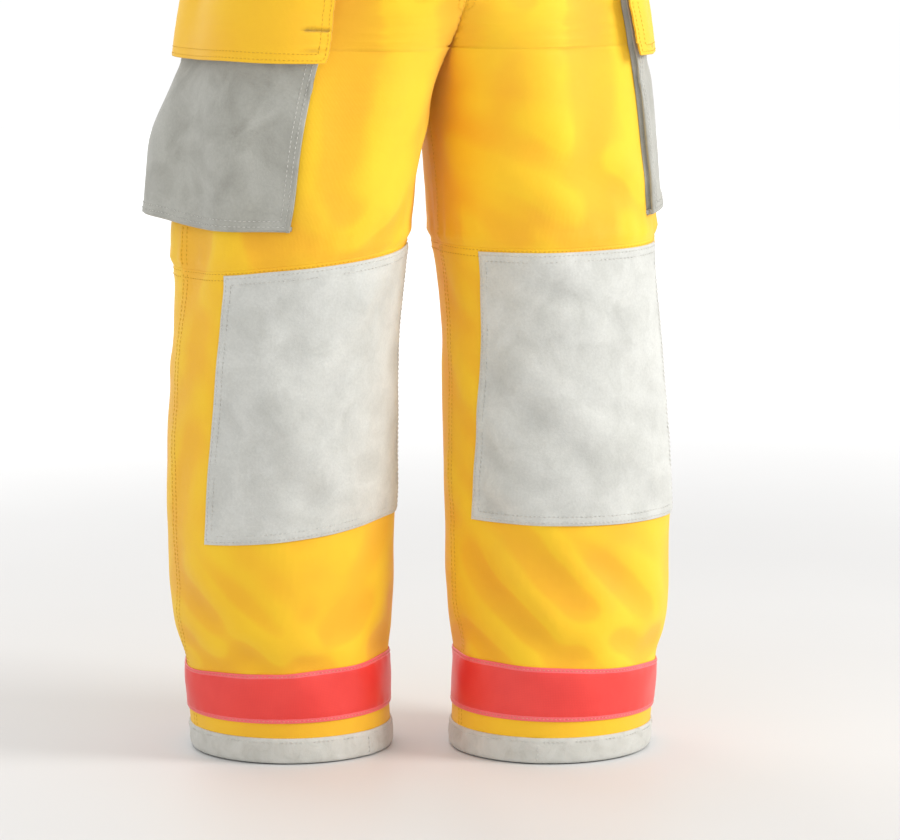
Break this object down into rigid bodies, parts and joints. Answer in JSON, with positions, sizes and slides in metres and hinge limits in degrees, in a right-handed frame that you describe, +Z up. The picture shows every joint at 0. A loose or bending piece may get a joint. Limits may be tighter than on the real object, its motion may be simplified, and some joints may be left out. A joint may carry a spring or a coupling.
{
  "type": "bunker pants",
  "caption": "Firefighting turnout trousers with suede knee patches, red-orange leg bands, bound cuffs, flapped thigh pockets, fly flap and waist take-up straps.",
  "frame": {"origin": "centre of the object's box, on the surface that the cuffs stand on", "axes": "+Z up from the cuffs to the waist, -Y to the wearer's front, +X to the wearer's left leg"},
  "size_m": [0.5414, 0.3012, 1.0001],
  "materials": {
    "shell": "yellow ripstop aramid shell cloth",
    "suede": "grey split suede",
    "binding": "light grey leather binding",
    "band": "red-orange trim tape with pink edges",
    "barrier": "off-white film laminate",
    "liner": "dark quilted facecloth",
    "pad": "dark grey foam in cloth",
    "tape": "black hook and loop",
    "webbing": "black aramid webbing",
    "plastic": "black moulded",
    "metal": "satin nickel"
  },
  "bodies": {
    "trousers": {"waistband": "shell", "fly_shield": "shell", "right_lower_leg_front_panel": "shell", "right_thigh_front_panel": "shell", "right_lower_leg_back_panel": "shell", "right_thigh_back_panel": "shell", "left_lower_leg_front_panel": "shell", "left_thigh_front_panel": "shell", "left_lower_leg_back_panel": "shell", "left_thigh_back_panel": "shell", "right_knee_patch": "suede", "right_thigh_pocket": "suede", "left_knee_patch": "suede", "left_thigh_pocket": "suede", "right_cuff_binding": "binding", "left_cuff_binding": "binding", "right_leg_band": "band", "left_leg_band": "band", "right_moisture_barrier": "barrier", "left_moisture_barrier": "barrier", "right_thermal_liner": "liner", "left_thermal_liner": "liner", "right_knee_pad": "pad", "left_knee_pad": "pad", "fly_loop_tape": "tape", "right_pocket_loop_tape": "tape", "left_pocket_loop_tape": "tape", "right_take_up_strap": "webbing", "right_buckle_tab": "webbing", "left_take_up_strap": "webbing", "left_buckle_tab": "webbing", "right_buckle": "plastic", "left_buckle": "plastic", "right_front_suspender_button_1": "metal", "right_front_suspender_button_2": "metal", "right_back_suspender_button_1": "metal", "right_back_suspender_button_2": "metal", "left_front_suspender_button_1": "metal", "left_front_suspender_button_2": "metal", "left_back_suspender_button_1": "metal", "left_back_suspender_button_2": "metal", "right_liner_snap_1": "metal", "right_liner_snap_2": "metal", "left_liner_snap_1": "metal", "left_liner_snap_2": "metal"},
    "fly": {"fly_flap": "shell", "fly_hook_tape": "tape"},
    "right_flap": {"right_pocket_flap": "shell", "right_flap_hook_tape": "tape"},
    "left_flap": {"left_pocket_flap": "shell", "left_flap_hook_tape": "tape"}
  },
  "joints": [
    {"name": "fly_flap_hinge", "type": "hinge", "parent": "trousers", "child": "fly", "pos_m": [0.0267, -0.13916, 0.90014], "axis": [0.0006, 0.0273, 0.9996], "range_deg": [0, 150]},
    {"name": "right_flap_hinge", "type": "hinge", "parent": "trousers", "child": "right_flap", "pos_m": [-0.21893, -0.0374, 0.77347], "axis": [-0.3145, 0.9493, 0], "range_deg": [0, 120]},
    {"name": "left_flap_hinge", "type": "hinge", "parent": "trousers", "child": "left_flap", "pos_m": [0.23224, 0.00005, 0.7734], "axis": [0.0178, -0.9998, 0], "range_deg": [0, 120]}
  ]
}
